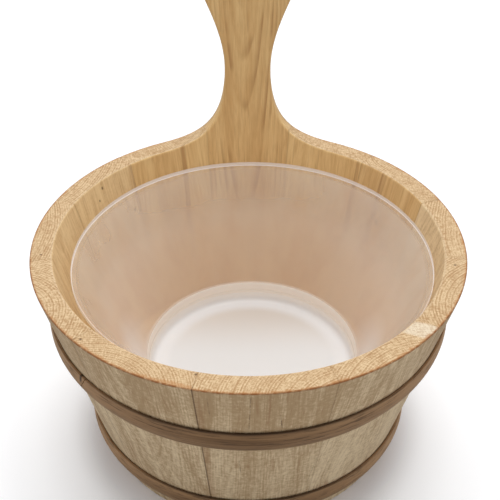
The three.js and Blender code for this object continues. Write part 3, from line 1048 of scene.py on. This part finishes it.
def makeHoop(name, node, top, joint):
    foot = top - hoop["height"]
    middleRadius = outerRadius(top - hoop["height"] / 2)
    outline = []
    for k in range(hoop["crownSteps"] + 1):
        share = k / hoop["crownSteps"]
        height = foot + share * hoop["height"]
        stand = hoop["edgeStand"] + hoop["crown"] * math.sin(math.pi * share)
        outline.append((outerRadius(height) + hoop["clearance"] + stand, height, 0))
    for height in (top, foot):
        outline.append((outerRadius(height) + hoop["clearance"], height, hoop["edgeEase"]))
    half = hoop["jointGap"] / 2 / middleRadius
    slant = math.tan(math.radians(hoop["slant"])) / middleRadius
    start = math.radians(joint) + half
    bm = spinOutline(
        easedOutline(outline), start, math.tau - half * 2, hoop["steps"], slant, top - hoop["height"] / 2
    )
    material, tree, shader, source = startMaterial(name + "Wood")
    look = useGroup(tree, hoopWood, {
        "Vector": moveVector(source["Object"], -bucketAxis), "Top": top, "Drop": hoop["height"],
        "Seed": top * 7, "Joint": math.remainder(math.radians(joint), math.tau),
    })
    wearLook(shader, look, hoop)
    finishPiece(bm, name, material, "bucket", [node])


makeHoop("upperHoop", "upper_hoop", hoop["upperTop"], hoop["upperJoint"])
makeHoop("lowerHoop", "lower_hoop", hoop["lowerTop"], hoop["lowerJoint"])
print("hoops made")


# The liner

liner = {
    "drift": 0.0024,
    "wall": 0.0016,
    "lipTop": 0.1315,
    "lipRadius": 0.1099,
    "lipWidth": 0.003,
    "lipDepth": 0.003,
    "lipRound": 0.0012,
    "shoulderRadius": 0.0681,
    "shoulderHeight": 0.0556,
    "baseRadius": 0.0676,
    "baseHeight": 0.0483,
    "floorRadius": 0.0598,
    "floorHeight": 0.042,
    "footRingHeight": 0.002,
    "footRingWidth": 0.0024,
    "footEase": 0.0005,
    "footRootEase": 0.0004,
    "lipUnderEase": 0.0006,
    "lipRootEase": 0.0003,
    "fillet": 0.0062,
    "baseEase": 0.0008,
    "shoulderEase": 0.0015,
    "roundSteps": 6,
    "steps": 160,
    "sharpAngle": 50,
    "milk": tone(238, 224, 210),
    "lowMilk": tone(236, 213, 189),
    "smear": tone(226, 198, 176),
    "sideMilk": tone(241, 235, 232),
    "bandMilk": tone(240, 236, 232),
    "floorMilk": tone(229, 231, 233),
    "floorBackShade": tone(218, 211, 204),
    "ringMilk": tone(236, 237, 239),
    "lipMilk": tone(246, 238, 234),
    "wallAlpha": 0.26,
    "lowAlpha": 0.52,
    "bandAlpha": 0.86,
    "lineAlpha": 0.7,
    "floorAlpha": 0.9,
    "lipAlpha": 0.12,
    "lipEdgeAlpha": 0.8,
    "sideAlpha": 0.26,
    "rightAlpha": 0.08,
    "cloudAlpha": 0.05,
    "smearForce": 0.5,
    "lightShare": 0.35,
    "glow": (0.15, 0.14, 0.128, 1.0),
    "lipGlow": 0.3,
    "bump": 0.15,
    "bumpDepth": 0.0001,
}


def makeLinerMaterial():
    material, tree, shader, source = startMaterial("frostedLiner")
    centred = moveVector(source["Object"], (-bucketAxis.x - liner["drift"], -bucketAxis.y, 0))
    place = partsOf(centred)
    height = place["Z"]
    radius = vectorMath("LENGTH", vectorMath("MULTIPLY", centred, (1, 1, 0)), output="Value")
    cloud = addNoise(centred, (60, 60, 30), 3.0)
    grain = addNoise(centred, (2600, 2600, 2600))
    # Where the parts lie: the base's steep side, a line in it, the floor, the lip and the lip's outer edge
    base = liner["baseHeight"]
    shoulder = liner["shoulderHeight"]
    lipUnderside = liner["lipTop"] - liner["lipDepth"]
    bandShare = addRamp(height, shoulder + 0.001, shoulder)
    lineShare = addStripe(height, base + 0.0014, 0.0005, 0.0008)
    floorShare = addRamp(height, base, base - 0.001)
    lipShare = addRamp(height, lipUnderside - 0.0004, lipUnderside)
    rimward = addRamp(radius, liner["lipRadius"] - 0.0008, liner["lipRadius"] - 0.0003)
    deep = addRamp(height, 0.124, 0.084)
    smear = addRamp(addNoise(centred, (46, 46, 7), 3.0), 0.42, 0.68, 0.0, liner["smearForce"])
    nearSide = times(addRamp(place["Y"], 0.03, -0.03), addRamp(height, 0.1, 0.065))
    nearSide = larger(nearSide, addRamp(addMath("ABSOLUTE", place["X"]), 0.035, 0.09, 0.0, 0.18))
    # Painted shade: the floor turns darker and wood-tinted towards the back, for the back wall's shadow and
    # bounced light
    floorTone = addBlend(addRamp(place["Y"], 0.005, 0.058), liner["floorMilk"], liner["floorBackShade"])
    floorTone = addBlend(addRamp(radius, 0.0525, 0.0605), floorTone, liner["ringMilk"])
    whole = addBlend(deep, liner["milk"], liner["lowMilk"])
    layers = (
        (smear, liner["smear"]), (nearSide, liner["sideMilk"]), (bandShare, liner["bandMilk"]),
        (floorShare, floorTone), (lipShare, liner["lipMilk"]),
    )
    for share, milk in layers:
        whole = addBlend(share, whole, milk)
    halfCloud = liner["cloudAlpha"] / 2
    alpha = addRamp(deep, 0.0, 1.0, liner["wallAlpha"] - halfCloud, liner["lowAlpha"] - halfCloud)
    alpha = timesPlus(cloud, liner["cloudAlpha"], alpha)
    alpha = plus(alpha, addRamp(place["X"], 0.0, 0.09, 0.0, liner["rightAlpha"]))
    alpha = timesPlus(nearSide, liner["sideAlpha"], alpha)
    # The lip's outer edge is more opaque, a bright line that is a painted highlight
    lip = addRamp(rimward, 0.0, 1.0, liner["lipAlpha"], liner["lipEdgeAlpha"])
    levels = (
        (bandShare, liner["bandAlpha"]), (lineShare, liner["lineAlpha"]), (floorShare, liner["floorAlpha"]),
        (lipShare, lip),
    )
    for share, level in levels:
        alpha = addRamp(share, 0.0, 1.0, alpha, level)
    # Light passes through the thin plastic more freely than sight does
    seen = addNode(tree, "LightPath")["Is Camera Ray"]
    alpha = times(alpha, addRamp(seen, 0.0, 1.0, liner["lightShare"], 1.0))
    # Painted glow: the stepped base is thick and cloudy, so its steep side glows in place of light spread
    # through the plastic
    glowShare = times(addRamp(height, liner["floorHeight"] + 0.0012, base - 0.002), bandShare)
    # The lip's outer edge glows too, a painted highlight
    glowShare = larger(glowShare, times(times(lipShare, rimward), liner["lipGlow"]))
    feed(shader.inputs, {
        "Base Color": whole, "Alpha": alpha, "Roughness": timesPlus(grain, 0.12, 0.34),
        "Emission Color": addBlend(glowShare, (0, 0, 0, 1), liner["glow"]), "Emission Strength": 1.0,
    })
    addBump(shader, grain, liner["bump"], liner["bumpDepth"])
    return material


def makeLiner():
    thick = liner["wall"]
    top = liner["lipTop"]
    lip = liner["lipRadius"]
    mouth = lip - liner["lipWidth"]
    lipUnderside = top - liner["lipDepth"]
    shoulder = liner["shoulderRadius"]
    shoulderHeight = liner["shoulderHeight"]
    base = liner["baseRadius"]
    baseHeight = liner["baseHeight"]
    floor = liner["floorHeight"]
    underside = floor - thick
    foot = underside - liner["footRingHeight"]
    footOuter = liner["floorRadius"] + liner["footRingWidth"] / 2
    footInner = footOuter - liner["footRingWidth"]
    lean = (mouth - shoulder) / (top - shoulderHeight)
    wallTop = shoulder + lean * (lipUnderside - shoulderHeight) + thick
    outline = easedOutline([
        (0, underside, 0),
        (footInner, underside, liner["footRootEase"]),
        (footInner, foot, liner["footEase"]),
        (footOuter, foot, liner["footEase"]),
        (footOuter, underside, liner["footRootEase"]),
        (base + thick, underside, liner["fillet"]),
        (base + thick, baseHeight, liner["baseEase"]),
        (shoulder + thick, shoulderHeight, liner["shoulderEase"]),
        (wallTop, lipUnderside, liner["lipRootEase"]),
        (lip, lipUnderside, liner["lipUnderEase"]),
        (lip, top, liner["lipRound"]),
        (mouth, top, liner["lipRound"]),
        (shoulder, shoulderHeight, liner["shoulderEase"]),
        (base, baseHeight, liner["baseEase"]),
        (base, floor, liner["fillet"]),
        (0, floor, 0),
    ], liner["roundSteps"])
    bm = turnOutline(outline, liner["steps"])
    bmesh.ops.translate(bm, vec=(liner["drift"], 0, 0), verts=bm.verts[:])
    material = makeLinerMaterial()
    finishPiece(bm, "frostedLiner", material, "liner", ["liner"], liner["sharpAngle"])


makeLiner()
print("liner made")


# Floor, light and background. The edges on the floor are distances from the bucket's axis.

studio = {
    "floorSize": 6.0,
    "floorSeen": (0.965, 0.975, 1.0, 1.0),
    "floorNearShade": (0.88, 0.86, 0.88, 1.0),
    "nearShadeEdge": (0.098, 0.112),
    "floorGlow": (0.95, 0.975, 1.0, 1.0),
    "glowEdge": (0.105, 0.124),
    "glowForce": 0.13,
    "fadeEdge": (0.14, 0.165),
    "fadeForce": 0.05,
    "floorBounce": (0.48, 0.48, 0.48, 1.0),
    "floorRoughness": 0.9,
    "skyForce": 0.66,
    "sunForce": 1.5,
    "sunTowards": (0.05, 0.32, 1.0),
    "sunSpread": 40.0,
}


def makeFloorMaterial():
    # White where the camera sees it in full light, keeping the shadows, and clear from below.
    material, tree, shader, source = startMaterial("paleFloor")
    seen = addNode(tree, "LightPath")["Is Camera Ray"]
    apart = vectorMath("DISTANCE", source["Object"], tuple(bucketAxis), "Value")
    # Painted shadow: the floor the camera sees is darker right round the foot
    white = addBlend(addRamp(apart, *studio["nearShadeEdge"]), studio["floorNearShade"], studio["floorSeen"])
    # The shadow is short: past its edge a painted glow, seen by the camera only, brightens the floor to the
    # backdrop's white
    glow = addRamp(apart, *studio["glowEdge"], 0.0, studio["glowForce"])
    glow = minus(glow, addRamp(apart, *studio["fadeEdge"], 0.0, studio["fadeForce"]))
    feed(shader.inputs, {
        "Base Color": addBlend(seen, studio["floorBounce"], white), "Roughness": studio["floorRoughness"],
        "Emission Color": studio["floorGlow"], "Emission Strength": times(glow, seen),
        "Specular IOR Level": 0.0,
    })
    behind = addNode(tree, "NewGeometry")["Backfacing"]
    clear = addNode(tree, "BsdfTransparent")[0]
    mixed = addNode(tree, "MixShader", {0: behind, 1: shader.outputs[0], 2: clear})[0]
    feed(tree.nodes["Material Output"].inputs, {"Surface": mixed})
    return material


def makeStudio():
    bm = bmesh.new()
    bmesh.ops.create_grid(bm, x_segments=8, y_segments=8, size=studio["floorSize"])
    addMesh(bm, "studioFloor", makeFloorMaterial())
    sky = bpy.data.worlds.new("studioSky")
    sky.use_nodes = True
    scene.world = sky
    backdrop = sky.node_tree.nodes["Background"]
    seen = addNode(sky.node_tree, "LightPath")["Is Camera Ray"]
    feed(backdrop.inputs, {
        "Color": (1, 1, 1, 1), "Strength": addRamp(seen, 0.0, 1.0, studio["skyForce"], 1.0),
    })
    lampData = bpy.data.lights.new("overheadLamp", "SUN")
    lampData.energy = studio["sunForce"]
    lampData.angle = math.radians(studio["sunSpread"])
    lamp = addObject("overheadLamp", lampData)
    lamp.rotation_mode = "QUATERNION"
    lamp.rotation_quaternion = Vector(studio["sunTowards"]).to_track_quat("Z", "Y")
    scene.view_settings.view_transform = "Standard"


makeStudio()
print("studio made")
